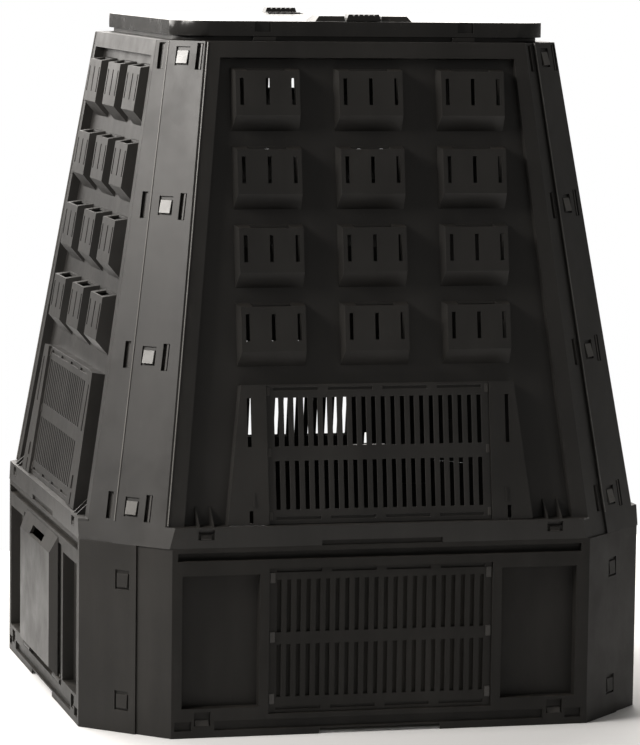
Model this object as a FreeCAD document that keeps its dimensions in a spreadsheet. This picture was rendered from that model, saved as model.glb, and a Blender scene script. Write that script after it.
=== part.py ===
import FreeCAD
import Part
import os
import re

import Sketcher

# Large square compost bin with a hinged lid.
# Every length is in millimetres and every angle in degrees.
# The origin is on the ground, in the middle of the bin. The front faces -Y.

# Driving sizes, one name and one value each.
SIZES = {
    # Base ring
    "base_half": 500,
    "wall": 3,
    "running_gap": 0.3,
    "seat_gap": 0.5,
    "ledge_height": 359,
    "skirt_foot": 324,
    "lip_rise": 24,
    # Upper body
    "body_low_half": 485.5,
    "body_top_half": 355,
    "body_top": 1170,
    "body_low_leg": 113.2,
    "body_top_leg": 72.1,
    "top_flange_depth": 45,
    # Corner flanges and their clips
    "seam_shift": 24.5,
    "lap_gap": 0.4,
    "hidden_reach": 48,
    "clip_shift": 6.5,
    "clip_width": 28,
    "clip_height": 33,
    "clip_first": 28,
    "clip_pitch": 257,
    "clip_count": 4,
    "tongue_width": 23,
    "tongue_height": 24,
    "tongue_drop": 1.5,
    "tongue_root": 4,
    "tongue_tip": 1.2,
    "corner_slot_width": 13,
    "corner_slot_height": 46,
    "wide_slot_shift": 40.5,
    "narrow_slot_shift": 39,
    "base_clip_first": 55,
    "base_clip_pitch": 208,
    "base_clip_count": 2,
    # Recessed field of the upper panel, measured up the slope
    "field_depth": 17,
    "field_low_half": 342.5,
    "field_top_half": 260,
    "field_rise": 794,
    # Louvred hoods
    "hood_columns": 3,
    "hood_rows": 4,
    "hood_column_pitch": 181,
    "hood_row_pitch": 133.7,
    "hood_top": 770,
    "hood_half": 59.5,
    "hood_face_half": 56,
    "hood_proud": 10.5,
    "hood_face_height": 76,
    "hood_top_run": 9,
    "hood_foot_run": 25,
    "face_slot_width": 7,
    "face_slot_pitch": 45,
    "face_slot_drop": 12,
    "face_slot_height": 46,
    "face_slot_count": 3,
    "top_slot_width": 70,
    "top_slot_depth": 20,
    # Vent housing of the upper panel
    "housing_low_half": 268.5,
    "housing_top_half": 240,
    "housing_rise": 237,
    "housing_proud": 7.5,
    "housing_slot_shift": 227,
    "housing_slot_width": 7,
    "foot_slot_low": 2,
    "foot_slot_height": 22,
    "stop_shift": 222,
    "stop_width": 3,
    "stop_low": 31,
    "stop_height": 23,
    "stop_proud": 2,
    # Vent grilles
    "vent_half": 196,
    "vent_seat_depth": 8,
    "vent_plate": 3,
    "vent_rail": 12,
    "vent_slot_width": 7.5,
    "vent_slot_pitch": 17,
    "vent_slot_count": 22,
    "vent_row_count": 2,
    "border_slot_length": 78,
    "border_slot_pitch": 96,
    "border_slot_count": 4,
    "border_slot_height": 5,
    "upper_slot_low": 25,
    "upper_slot_height": 82.5,
    "upper_row_pitch": 107,
    "upper_border_low": 8,
    "upper_border_pitch": 219,
    # Latches on the ledge
    "latch_shift": 306.5,
    "latch_half": 14,
    "latch_low": 338,
    "latch_high": 355,
    "fin_top": 392,
    "fin_run": 20,
    "catch_half": 9,
    "catch_low": 340,
    "catch_high": 346,
    "catch_reach": 2.8,
    "notch_half": 106,
    "notch_rise": 9,
    # Fields of the base panel
    "base_vent_low": 37,
    "base_vent_high": 287,
    "base_slot_low": 65,
    "base_slot_height": 90,
    "base_row_pitch": 111,
    "base_border_low": 6,
    "base_border_pitch": 236,
    "plain_inner": 213,
    "plain_outer": 347,
    "plain_low": 50,
    "plain_high": 277,
    "plain_depth": 20,
    "strip_half": 355,
    "strip_low": 302,
    "strip_high": 316,
    "strip_depth": 12,
    "channel_half": 290,
    "channel_low": 12,
    "channel_high": 28,
    "channel_depth": 6,
    "channel_end_inner": 330,
    "channel_end_outer": 359,
    "pocket_inner": 297,
    "pocket_outer": 325,
    "pocket_low": 20,
    "pocket_high": 44,
    "pocket_depth": 8,
    # Emptying door
    "door_gap": 1.5,
    "door_riser_half": 160,
    "door_riser_high": 284,
    "door_pan_half": 165,
    "door_pan_low": 47,
    "door_pan_high": 296,
    "door_pan_reach": 14,
    "door_face_half": 153,
    "door_face_low": 62,
    "door_face_high": 266,
    "finger_slot_width": 120,
    "finger_slot_low": 268,
    "finger_slot_high": 283,
    "door_axis_height": 43,
    "door_axis_depth": 2,
    "pin_radius": 2.5,
    "barrel_radius": 5,
    "door_barrel_length": 60,
    "door_barrel_shift": 150,
    "door_lug_length": 14,
    # Top frame
    "frame_half": 324,
    "frame_inner_half": 298,
    "frame_height": 8,
    "corner_radius": 60,
    "hook_shift": 176.5,
    "hook_length": 39,
    "hook_reach": 8,
    # Lid
    "lid_half": 331.5,
    "lid_top": 1204,
    "lid_notch_shift": 180,
    "lid_notch_width": 28,
    "lid_notch_floor": 1186,
    "hinge_axis_half": 330,
    "hinge_axis_height": 1190,
    "hinge_barrel_radius": 5.5,
    "hinge_lug_width": 16,
    "hinge_cheek_width": 12,
    "grip_half": 86,
    "grip_crest_half": 78,
    "grip_inner": 240,
    "grip_crest_inner": 268,
    "grip_outer": 322,
    "grip_crest_outer": 317,
    "grip_rise": 9.5,
    "rear_grip_rise": 3,
    "grip_floor": 1,
    "grip_channel_gap": 2,
    "knob_half": 31,
    "knob_top_half": 27,
    "knob_inner": 297,
    "knob_outer": 323,
    "knob_top": 1216.5,
    "knob_groove_width": 3,
    "knob_groove_pitch": 9,
    "knob_groove_count": 5,
    "knob_groove_depth": 2,
    "stem_half": 20,
    "stem_inner": 270,
    "stem_outer": 278,
    "latch_travel": 8,
    "toe_thickness": 3,
    "toe_gap": 1,
}

# Sizes worked out from the driving ones.
DERIVED = {
    "rise": "body_top - ledge_height",
    "root_two": "sqrt(2)",
    "lean": "atan((body_low_half - body_top_half) / rise) / 1 deg",
    "lean_cos": "cos(lean * 1 deg)",
    "lean_sin": "sin(lean * 1 deg)",
    "low_span": "2 * body_low_half - body_low_leg",
    "top_span": "2 * body_top_half - body_top_leg",
    "corner_lean": "atan((low_span - top_span) / root_two / rise) / 1 deg",
    "corner_cos": "cos(corner_lean * 1 deg)",
    "corner_sin": "sin(corner_lean * 1 deg)",
    "skirt_leg": "2 * base_half - low_span",
    "foot_span": "low_span + (low_span - top_span) * (ledge_height - skirt_foot) / rise",
    "base_leg": "2 * base_half - foot_span",
    "lap": "(wall + lap_gap) / 2",
    "ridge_shift": "root_two * lap / corner_cos",
    "corner_rise": "rise / corner_cos",
    "corner_foot": "(skirt_foot - ledge_height) / corner_cos",
    "slope_rise": "rise / lean_cos",
    "ridge_inset": "wall * tan(22.5 * 1 deg)",
    "floor_cut": "wall * 3",
    "hood_centre": "-hood_column_pitch * (hood_columns - 1) / 2",
    "hood_low_top": "hood_top - hood_row_pitch * (hood_rows - 1)",
    "hood_chin": "hood_low_top - hood_face_height",
    "hood_foot": "hood_chin - hood_foot_run",
    "hood_brow": "hood_low_top + hood_top_run",
    "hood_over": "hood_brow + wall",
    "hood_root": "-field_depth - wall / 2",
    "hood_back": "-field_depth - floor_cut / 2",
    "hood_hollow": "hood_proud - wall",
    "hood_hollow_half": "hood_face_half - wall",
    "vent_floor": "housing_proud - vent_seat_depth",
    "vent_window_half": "vent_half - vent_rail",
    "base_panel_floor": "base_half - vent_seat_depth",
    "door_axis_half": "base_half - door_axis_depth",
    "frame_top": "body_top + frame_height",
    "lid_foot": "frame_top + running_gap",
}

doc = FreeCAD.newDocument("compost_bin")
dims = doc.addObject("Spreadsheet::Sheet", "dims")
ALIAS = re.compile(r"\b(" + "|".join(sorted([*SIZES, *DERIVED], key=len, reverse=True)) + r")\b")


def fill_sheet():
    """Write the sizes into the sheet, each in its own row under its own alias."""
    cells = {name: str(size) for name, size in SIZES.items()}
    cells.update({name: "=" + formula for name, formula in DERIVED.items()})
    for row, (name, text) in enumerate(cells.items(), start=1):
        dims.set(f"A{row}", name)
        dims.set(f"B{row}", text)
        dims.setAlias(f"B{row}", name)
    doc.recompute()


def bound(text):
    """The document expression for a size expression."""
    return ALIAS.sub(lambda match: "dims." + match.group(0), text)


def number(text):
    """The present value of a size expression."""
    return float(dims.evalExpression(text))


# Sketch planes, each as X, Y, Z of its origin, its turn about Z and its tilt about X

def level(height):
    """Level plane, its normal up."""
    return ("0", "0", height, "0", "0")


def upright(half):
    """Vertical plane at the front, its normal outwards."""
    return ("0", f"-({half})", "0", "0", "90")


def cross(shift):
    """Vertical plane across the width, sketch X along +Y and its normal along +X."""
    return (shift, "0", "0", "90", "90")


def slope(offset="0"):
    """Outer plane of the leaning front, from the fold at the ledge upwards."""
    depth = f"-body_low_half - ({offset}) * lean_cos"
    height = f"ledge_height + ({offset}) * lean_sin"
    return ("0", depth, height, "0", "90 - lean")


def shelf(distance):
    """Plane square to the leaning front, its normal up the slope."""
    depth = f"-body_low_half + ({distance}) * lean_sin"
    height = f"ledge_height + ({distance}) * lean_cos"
    return ("0", depth, height, "0", "-lean")


def leaning_corner(side, offset):
    """Outer plane of the leaning chamfer, on the left with side -1 or the right with side 1."""
    reach = f"(body_low_half - body_low_leg / 2 + ({offset}) * corner_cos / root_two)"
    height = f"ledge_height + ({offset}) * corner_sin"
    return (f"{side} * {reach}", f"-{reach}", height, f"{side} * 45", "90 - corner_lean")


def upright_corner(side, offset):
    """Outer plane of the vertical chamfer of the base."""
    reach = f"(base_half - base_leg / 2 + ({offset}) / root_two)"
    return (f"{side} * {reach}", f"-{reach}", "0", f"{side} * 45", "90")


# Outlines

def box(left, right, low, high):
    """A rectangle between two abscissas and two ordinates."""
    return [(left, low), (right, low), (right, high), (left, high)]


def middle_box(centre, width, low, high):
    """A rectangle of one width about a centre line."""
    return box(f"{centre} - ({width}) / 2", f"{centre} + ({width}) / 2", low, high)


def trapezoid(low_half, top_half, low, high):
    """A symmetric trapezoid."""
    return [(f"-({low_half})", low), (low_half, low), (top_half, high), (f"-({top_half})", high)]


def stretch(side, near, far):
    """The two ends of a stretch, on the negative side with side -1 or on the positive side with 1."""
    return (near, far) if side == "1" else (f"-({far})", f"-({near})")


def base_section():
    """Plan section of a base panel: front plate, narrow left flange and wide right flange.

    The wide flange lies outside the chamfer's middle plane and the narrow one inside it,
    so that the wide flange of one panel covers the narrow flange of the next."""

    def flange(along, out):
        across = f"(base_half - base_leg + (({along}) + ({out})) / root_two)"
        depth = f"-base_half + (({along}) - ({out})) / root_two"
        return across, depth

    def mirrored(point):
        return f"-{point[0]}", point[1]

    wide = "(base_leg / root_two + seam_shift)"
    narrow = "(base_leg / root_two - seam_shift + hidden_reach)"
    wide_ridge = "(base_half - base_leg + root_two * lap)"
    narrow_ridge = "(base_half - base_leg - root_two * lap)"
    return [
        mirrored(flange(narrow, "-lap")),
        (f"-{narrow_ridge}", "-base_half"),
        (wide_ridge, "-base_half"),
        flange(wide, "lap"),
        flange(wide, "lap - wall"),
        (f"{wide_ridge} - ridge_inset", "-base_half + wall"),
        (f"-{narrow_ridge} + ridge_inset", "-base_half + wall"),
        mirrored(flange(narrow, "-lap - wall")),
    ]


# Features

def new_body(label):
    """An empty body for one piece."""
    body = doc.addObject("PartDesign::Body", label)
    body.Label = label
    return body


def attach(item, body, plane):
    """Hold a sketch or a primitive on a plane, measured from the body's own level plane."""
    x, y, z, turn, tilt = plane
    ground = next(part for part in body.Origin.OriginFeatures if part.Role == "XY_Plane")
    item.AttachmentSupport = [(ground, "")]
    item.MapMode = "FlatFace"
    offset = f"create(<<vector>>; {bound(x)}; {bound(y)}; {bound(z)})"
    turned = f"create(<<rotation>>; {bound(turn)}; 0; {bound(tilt)})"
    item.setExpression("AttachmentOffset", f"create(<<placement>>; {offset}; {turned})")


def new_sketch(body, plane):
    """An empty sketch on a plane."""
    sketch = body.newObject("Sketcher::SketchObject", "outline")
    attach(sketch, body, plane)
    sketch.Visibility = False
    return sketch


def corner_arc(start, end):
    """A quarter circle between two corners, counter-clockwise."""
    middle = (start + end) / 2
    half = (end - start) / 2
    centre = middle + FreeCAD.Vector(-half.y, half.x, 0)
    radius = (start - centre).Length
    circle = Part.Circle(centre, FreeCAD.Vector(0, 0, 1), radius)
    first = circle.parameter(start)
    last = circle.parameter(end)
    return Part.ArcOfCircle(circle, first, last)


def polygon_sketch(body, plane, outlines, radius=None):
    """Closed outlines with each corner held to its sizes.

    With a radius, every second side is a round corner of that radius."""
    sketch = new_sketch(body, plane)
    for outline in outlines:
        first = sketch.GeometryCount
        count = len(outline)
        places = [FreeCAD.Vector(number(x), number(y), 0) for x, y in outline]
        sides = []
        for index, start in enumerate(places):
            end = places[(index + 1) % count]
            if radius and index % 2:
                sides.append(corner_arc(start, end))
            else:
                sides.append(Part.LineSegment(start, end))
        sketch.addGeometry(sides, False)
        rules = []
        sizes = []
        for index in range(count):
            following = first + (index + 1) % count
            rules.append(Sketcher.Constraint("Coincident", first + index, 2, following, 1))
        for index, (x, y) in enumerate(outline):
            rules.append(Sketcher.Constraint("DistanceX", -1, 1, first + index, 1, places[index].x))
            sizes.append((len(rules) - 1, x))
            rules.append(Sketcher.Constraint("DistanceY", -1, 1, first + index, 1, places[index].y))
            sizes.append((len(rules) - 1, y))
            if radius and index % 2:
                rules.append(Sketcher.Constraint("Radius", first + index, number(radius)))
                sizes.append((len(rules) - 1, radius))
        base = sketch.ConstraintCount
        sketch.addConstraint(rules)
        for index, text in sizes:
            sketch.setExpression(f"Constraints[{base + index}]", bound(text))
    return sketch


def circle_sketch(body, plane, circles):
    """Full circles, each as centre X, centre Y and radius."""
    sketch = new_sketch(body, plane)
    for x, y, radius in circles:
        place = FreeCAD.Vector(number(x), number(y), 0)
        index = sketch.addGeometry(Part.Circle(place, FreeCAD.Vector(0, 0, 1), number(radius)), False)
        base = sketch.ConstraintCount
        rules = [
            Sketcher.Constraint("DistanceX", -1, 1, index, 3, place.x),
            Sketcher.Constraint("DistanceY", -1, 1, index, 3, place.y),
            Sketcher.Constraint("Radius", index, number(radius)),
        ]
        sketch.addConstraint(rules)
        for step, text in enumerate((x, y, radius)):
            sketch.setExpression(f"Constraints[{base + step}]", bound(text))
    return sketch


def pad(body, plane, outlines, length, radius=None):
    """Material from the plane along its normal."""
    feature = body.newObject("PartDesign::Pad", "pad")
    feature.Profile = polygon_sketch(body, plane, outlines, radius)
    feature.setExpression("Length", bound(length))
    body.Tip = feature
    return feature


def pocket(body, plane, outlines, length, radius=None):
    """A cut from the plane against its normal."""
    feature = body.newObject("PartDesign::Pocket", "pocket")
    feature.Profile = polygon_sketch(body, plane, outlines, radius)
    feature.setExpression("Length", bound(length))
    body.Tip = feature
    return feature


def round_pad(body, plane, circles, length):
    """Round bars from the plane along its normal."""
    feature = body.newObject("PartDesign::Pad", "bar")
    feature.Profile = circle_sketch(body, plane, circles)
    feature.setExpression("Length", bound(length))
    body.Tip = feature
    return feature


def bore(body, plane, circles, length):
    """Round bores from the plane against its normal."""
    feature = body.newObject("PartDesign::Pocket", "bore")
    feature.Profile = circle_sketch(body, plane, circles)
    feature.setExpression("Length", bound(length))
    body.Tip = feature
    return feature


def frustum(body, kind, plane, depth, near, far):
    """A four-sided frustum from a plane along its normal.

    near and far are its outlines there and at the depth, each as left, right, low and high."""
    feature = body.newObject("PartDesign::" + kind, "frustum")
    x, y, z, turn, tilt = plane
    attach(feature, body, (x, y, z, turn, f"{tilt} + 90"))
    left, right, low, high = near
    far_left, far_right, far_low, far_high = far
    limits = {
        "Ymin": "0", "Ymax": depth,
        "Xmin": left, "Xmax": right, "Zmin": f"-({high})", "Zmax": f"-({low})",
        "X2min": far_left, "X2max": far_right, "Z2min": f"-({far_high})", "Z2max": f"-({far_low})",
    }
    for limit, text in limits.items():
        setattr(feature, limit, number(text))
        feature.setExpression(limit, bound(text))
    body.Tip = feature
    return feature


def repeat(body, features, name, across, along=None):
    """Repeat features along the axes of the last one's sketch.

    Each direction is a sketch axis, a spacing and a count."""
    feature = body.newObject("PartDesign::LinearPattern", name)
    feature.Originals = features
    guide = features[-1].Profile[0]
    axis, spacing, count = across
    feature.Direction = (guide, [axis])
    feature.Mode = "Extent"
    feature.setExpression("Length", bound(f"({spacing}) * ({count} - 1)"))
    feature.setExpression("Occurrences", bound(count))
    if along:
        axis, spacing, count = along
        feature.Direction2 = (guide, [axis])
        feature.Mode2 = "Extent"
        feature.setExpression("Length2", bound(f"({spacing}) * ({count} - 1)"))
        feature.setExpression("Occurrences2", bound(count))
    body.Tip = feature
    return feature


def grid(body, features, across, along):
    """Repeat features in rows and columns, each as spacing and count."""
    return repeat(body, features, "grid", ("H_Axis", *across), ("V_Axis", *along))


def column(body, features, spacing, count):
    """Repeat features upwards."""
    return repeat(body, features, "column", ("V_Axis", spacing, count))


def first_of(pitch, count):
    """Centre of the first of a row of repeats about the middle."""
    return f"-({pitch}) * ({count} - 1) / 2"


# Pieces

def side_outline(points):
    """Points up the slope and out from it, in the coordinates of a plane across the width."""
    outline = []
    for rise, out in points:
        depth = f"-body_low_half - ({out}) * lean_cos + ({rise}) * lean_sin"
        height = f"ledge_height + ({rise}) * lean_cos + ({out}) * lean_sin"
        outline.append((depth, height))
    return outline


def add_hoods(body):
    """Louvred hoods, hollow and open to the inside, in rows and columns."""
    block = side_outline([
        ("hood_foot", "hood_root"),
        ("hood_chin", "hood_proud"),
        ("hood_low_top", "hood_proud"),
        ("hood_brow", "hood_root"),
    ])
    outside = pad(body, cross("hood_centre - hood_half"), [block], "2 * hood_half")
    hollow = side_outline([
        ("hood_foot + wall", "hood_back"),
        ("hood_chin + wall", "hood_hollow"),
        ("hood_low_top - wall", "hood_hollow"),
        ("hood_brow - wall", "hood_back"),
    ])
    inside = pocket(body, cross("hood_centre + hood_hollow_half"), [hollow], "2 * hood_hollow_half")
    flanks = []
    for side in ("-1", "1"):
        flanks.append([
            (f"hood_centre + {side} * hood_face_half", "-hood_proud"),
            (f"hood_centre + {side} * hood_half", "field_depth"),
            (f"hood_centre + {side} * (hood_half + wall)", "field_depth"),
            (f"hood_centre + {side} * (hood_half + wall)", "-hood_proud - wall"),
            (f"hood_centre + {side} * hood_face_half", "-hood_proud - wall"),
        ])
    sides = pocket(body, shelf("hood_over"), flanks, "hood_over - hood_foot + wall")
    face_slots = []
    for step in range(int(number("face_slot_count"))):
        middle = f"hood_centre + {first_of('face_slot_pitch', 'face_slot_count')} + {step} * face_slot_pitch"
        high = "hood_low_top - face_slot_drop"
        face_slots.append(middle_box(middle, "face_slot_width", f"{high} - face_slot_height", high))
    top_slot = middle_box("hood_centre", "top_slot_width", "-hood_hollow", "-hood_hollow + top_slot_depth")
    tops = pocket(body, shelf("hood_over"), [top_slot], "hood_top_run + floor_cut")
    fronts = pocket(body, slope("hood_proud + wall"), face_slots, "floor_cut")
    grid(
        body,
        [outside, inside, sides, tops, fronts],
        ("hood_column_pitch", "hood_columns"),
        ("hood_row_pitch", "hood_rows"),
    )


def add_housing(body):
    """Raised housing at the foot of the field, with a seat for the vent grille."""
    outline = trapezoid("housing_low_half", "housing_top_half", "0", "housing_rise")
    hollow = trapezoid("housing_low_half - wall", "housing_top_half - wall", "-wall", "housing_rise - wall")
    seat = "vent_half + wall"
    pad(body, slope("-field_depth - wall / 2"), [outline], "housing_proud + field_depth + wall / 2")
    pocket(body, slope("housing_proud - wall"), [hollow], "housing_proud + field_depth + floor_cut")
    pad(
        body,
        slope("vent_floor - wall"),
        [box(f"-({seat})", seat, "0", "housing_rise - wall / 2")],
        "housing_proud - vent_floor + wall / 2",
    )
    pocket(
        body,
        slope("housing_proud"),
        [box("-vent_half - seat_gap", "vent_half + seat_gap", "0", "housing_rise + wall")],
        "vent_seat_depth",
    )
    pocket(
        body,
        slope("vent_floor + wall"),
        [box("-vent_window_half", "vent_window_half", "upper_slot_low - wall",
             "upper_slot_low + upper_row_pitch + upper_slot_height + wall")],
        "wall + floor_cut",
    )
    row_low = "(upper_slot_low + upper_row_pitch)"
    margins = []
    stops = []
    for side in ("-1", "1"):
        for low, high in (
            ("foot_slot_low", "foot_slot_low + foot_slot_height"),
            (row_low, f"{row_low} + upper_slot_height"),
        ):
            margins.append(middle_box(f"{side} * housing_slot_shift", "housing_slot_width", low, high))
        stops.append(middle_box(f"{side} * stop_shift", "stop_width", "stop_low", "stop_low + stop_height"))
    pocket(body, slope("housing_proud + wall"), margins, "floor_cut")
    pad(body, slope("housing_proud - wall / 2"), stops, "stop_proud + wall / 2")


def add_ledge(body):
    """Ledge between the skirt and the leaning body, which also closes the foot of the field."""
    skirt_ridge = "base_half - skirt_leg"
    body_ridge = "body_low_half - body_low_leg"
    inner = "body_low_half - field_depth - wall"
    outline = [
        (f"-({skirt_ridge})", "-base_half"),
        (skirt_ridge, "-base_half"),
        (body_ridge, "-body_low_half"),
        ("field_low_half + wall", f"-({inner})"),
        ("-field_low_half - wall", f"-({inner})"),
        (f"-({body_ridge})", "-body_low_half"),
    ]
    pad(body, level("ledge_height - wall"), [outline], "wall")


def add_latches(body):
    """Window in the skirt under a pair of fins on the ledge, on each side."""
    windows = []
    for side in ("-1", "1"):
        windows.append(middle_box(f"{side} * latch_shift", "2 * latch_half", "latch_low", "latch_high"))
    pocket(body, upright("base_half + wall"), windows, "floor_cut")
    profile = [
        ("-base_half + wall / 2", "ledge_height - wall / 2"),
        ("-base_half + wall / 2 + fin_run + field_depth", "ledge_height - wall / 2"),
        ("-base_half + wall / 2 + fin_run + field_depth", "fin_top"),
    ]
    for side in ("-1", "1"):
        for edge in ("-latch_half", "latch_half - wall"):
            pad(body, cross(f"{side} * latch_shift + {edge}"), [profile], "wall")


def add_shell(body):
    """Front plate, skirt plate and the two chamfer flanges, trimmed level at both ends."""
    low = "(body_low_half - body_low_leg)"
    high = "(body_top_half - body_top_leg)"
    front = [
        (f"-{low} - ridge_shift", "0"),
        (f"{low} - ridge_shift", "0"),
        (f"{high} - ridge_shift", "slope_rise + wall"),
        (f"-{high} - ridge_shift", "slope_rise + wall"),
    ]
    pad(body, slope("-wall"), [front], "wall")
    foot = "(base_half - base_leg)"
    shoulder = "(base_half - skirt_leg)"
    skirt = [
        (f"-{foot} - ridge_shift", "skirt_foot"),
        (f"{foot} - ridge_shift", "skirt_foot"),
        (f"{shoulder} - ridge_shift", "ledge_height"),
        (f"-{shoulder} - ridge_shift", "ledge_height"),
    ]
    pad(body, upright("base_half - wall"), [skirt], "wall")
    foot_reach = "(base_leg / root_two + (base_leg - skirt_leg) / root_two * wall / -corner_foot)"
    reaches = (
        (foot_reach, "corner_foot - wall"),
        ("(skirt_leg / root_two)", "0"),
        ("(body_low_leg / root_two)", "0"),
        ("(body_top_leg / root_two)", "corner_rise + wall"),
    )
    wide_edge = [(f"{reach} - lap / corner_cos", height) for reach, height in reaches]
    wide = [("-seam_shift", "corner_foot - wall"), *wide_edge, ("-seam_shift", "corner_rise + wall")]
    pad(body, leaning_corner(-1, "lap - wall"), [wide], "wall")
    narrow_edge = [(f"-({reach} + lap / corner_cos)", height) for reach, height in reversed(reaches)]
    hidden = "hidden_reach - seam_shift"
    narrow = [(hidden, "corner_rise + wall"), *narrow_edge, (hidden, "corner_foot - wall")]
    pad(body, leaning_corner(1, "-lap - wall"), [narrow], "wall")


def trim_ends(body):
    """Cut the shell level at the foot of the skirt and at the top."""
    reach = "2 * base_half"
    around = box(f"-{reach}", reach, f"-{reach}", reach)
    pocket(body, level("body_top + floor_cut"), [around], "floor_cut")
    pocket(body, level("skirt_foot"), [around], "floor_cut")


def make_upper_panel(label):
    """Leaning panel with its corner flanges, skirt, hoods and vent housing."""
    body = new_body(label)
    add_shell(body)
    trim_ends(body)
    backing = trapezoid("field_low_half + wall", "field_top_half + wall", "0", "field_rise + wall")
    field = trapezoid("field_low_half", "field_top_half", "-wall", "field_rise")
    pad(body, slope("-field_depth - wall"), [backing], "field_depth + wall / 2")
    pocket(body, slope("0"), [field], "field_depth")
    add_housing(body)
    add_ledge(body)
    flange_half = "(body_top_half - body_top_leg - ridge_inset)"
    flange = box(
        f"-{flange_half}", flange_half, "-body_top_half + wall / 2", "-body_top_half + top_flange_depth"
    )
    pad(body, level("body_top - wall"), [flange], "wall")
    add_latches(body)
    pocket(
        body,
        upright("base_half + wall"),
        [box("-notch_half", "notch_half", "skirt_foot - wall", "skirt_foot + notch_rise")],
        "floor_cut",
    )
    window = middle_box(
        "clip_shift", "clip_width", "clip_first - clip_height / 2", "clip_first + clip_height / 2"
    )
    slot_low = "clip_first - corner_slot_height / 2"
    slot_high = "clip_first + corner_slot_height / 2"
    wide_slot = middle_box("wide_slot_shift", "corner_slot_width", slot_low, slot_high)
    cut = pocket(body, leaning_corner(-1, "lap + wall"), [window, wide_slot], "wall + floor_cut")
    column(body, [cut], "clip_pitch", "clip_count")
    narrow_slot = middle_box("-narrow_slot_shift", "corner_slot_width", slot_low, slot_high)
    cut = pocket(body, leaning_corner(1, "wall"), [narrow_slot], "wall + floor_cut")
    column(body, [cut], "clip_pitch", "clip_count")
    tongue_low = "clip_first - tongue_drop - tongue_height / 2"
    tongue = middle_box("clip_shift", "tongue_width", tongue_low, f"{tongue_low} + tongue_height")
    block = pad(body, leaning_corner(1, "-tongue_root"), [tongue], "tongue_root + tongue_tip")
    column(body, [block], "clip_pitch", "clip_count")
    add_hoods(body)
    return body


def backed_recess(body, outlines, backings, depth):
    """Recesses in the front plate of the base, each with walls and a floor behind it."""
    pad(body, upright(f"base_half - {depth} - wall"), backings, f"{depth} + wall / 2")
    pocket(body, upright("base_half"), outlines, depth)


def both_sides(inner, outer, low, high):
    """The same rectangle on the left and on the right."""
    return [box(f"-({outer})", f"-({inner})", low, high), box(inner, outer, low, high)]


def make_base_panel(label, has_door):
    """Upright base panel with its corner flanges, recesses and middle opening."""
    body = new_body(label)
    pad(body, level("0"), [base_section()], "skirt_foot")
    lip_half = "(base_half - skirt_leg - wall)"
    lip_face = "(base_half - wall - seat_gap)"
    pad(
        body,
        level("skirt_foot - wall"),
        [box(f"-{lip_half}", lip_half, "-base_half + wall / 2", f"-{lip_face} + wall")],
        "wall",
    )
    pad(
        body,
        level("skirt_foot - wall / 2"),
        [box(f"-{lip_half}", lip_half, f"-{lip_face}", f"-{lip_face} + wall")],
        "lip_rise + wall / 2",
    )
    catches = []
    for side in ("-1", "1"):
        catches.append(middle_box(f"{side} * latch_shift", "2 * catch_half", "catch_low", "catch_high"))
    pad(body, upright(f"{lip_face} - wall / 2"), catches, "catch_reach + wall / 2")
    backed_recess(
        body,
        both_sides("plain_inner", "plain_outer", "plain_low", "plain_high"),
        both_sides("plain_inner - wall", "plain_outer + wall", "plain_low - wall", "plain_high + wall"),
        "plain_depth",
    )
    backed_recess(
        body,
        [box("-strip_half", "strip_half", "strip_low", "strip_high")],
        [box("-strip_half - wall", "strip_half + wall", "strip_low - wall", "strip_high + wall")],
        "strip_depth",
    )
    backed_recess(
        body,
        [
            box("-channel_half", "channel_half", "channel_low", "channel_high"),
            *both_sides("channel_end_inner", "channel_end_outer", "channel_low", "channel_high"),
        ],
        [middle_box("0", "2 * (channel_end_outer + wall)", "channel_low - wall", "channel_high + wall")],
        "channel_depth",
    )
    backed_recess(
        body,
        both_sides("pocket_inner", "pocket_outer", "pocket_low", "pocket_high"),
        both_sides("pocket_inner - wall", "pocket_outer + wall", "pocket_low - wall", "pocket_high + wall"),
        "pocket_depth",
    )
    opening_half = "(vent_half + seat_gap)"
    seat_half = f"({opening_half} + wall)"
    backed_recess(
        body,
        [box(f"-{opening_half}", opening_half, "base_vent_low", "base_vent_high")],
        [box(f"-{seat_half}", seat_half, "base_vent_low - wall", "base_vent_high + wall")],
        "vent_seat_depth",
    )
    window_low = "base_slot_low - wall"
    window_high = "base_slot_low + base_row_pitch + base_slot_height + wall"
    pocket(
        body,
        upright("base_panel_floor + wall"),
        [box("-vent_window_half", "vent_window_half", window_low, window_high)],
        "wall + floor_cut",
    )
    if has_door:
        add_door_lugs(body)
    pocket(
        body,
        upright("base_half + wall"),
        [box("-notch_half", "notch_half", "-wall", "notch_rise")],
        "floor_cut",
    )
    window = middle_box(
        "seam_shift - clip_width",
        "clip_width",
        "base_clip_first - clip_height / 2",
        "base_clip_first + clip_height / 2",
    )
    cut = pocket(body, upright_corner(1, "lap + wall"), [window], "wall + floor_cut")
    column(body, [cut], "base_clip_pitch", "base_clip_count")
    tongue_low = "base_clip_first - tongue_drop - tongue_height / 2"
    tongue_high = f"{tongue_low} + tongue_height"
    tongue = middle_box("seam_shift - clip_width", "tongue_width", tongue_low, tongue_high)
    block = pad(body, upright_corner(-1, "-tongue_root"), [tongue], "tongue_root + tongue_tip")
    column(body, [block], "base_clip_pitch", "base_clip_count")
    return body


def lug(axis, height, radius, out, back):
    """Side outline of a lug with a chamfered nose round an axis, from a wall at its back."""
    return [
        (back, f"{height} - {radius}"),
        (f"{axis} + {out} * {radius} / 2", f"{height} - {radius}"),
        (f"{axis} + {out} * {radius}", f"{height} - {radius} / 2"),
        (f"{axis} + {out} * {radius}", f"{height} + {radius} / 2"),
        (f"{axis} + {out} * {radius} / 2", f"{height} + {radius}"),
        (back, f"{height} + {radius}"),
    ]


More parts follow.
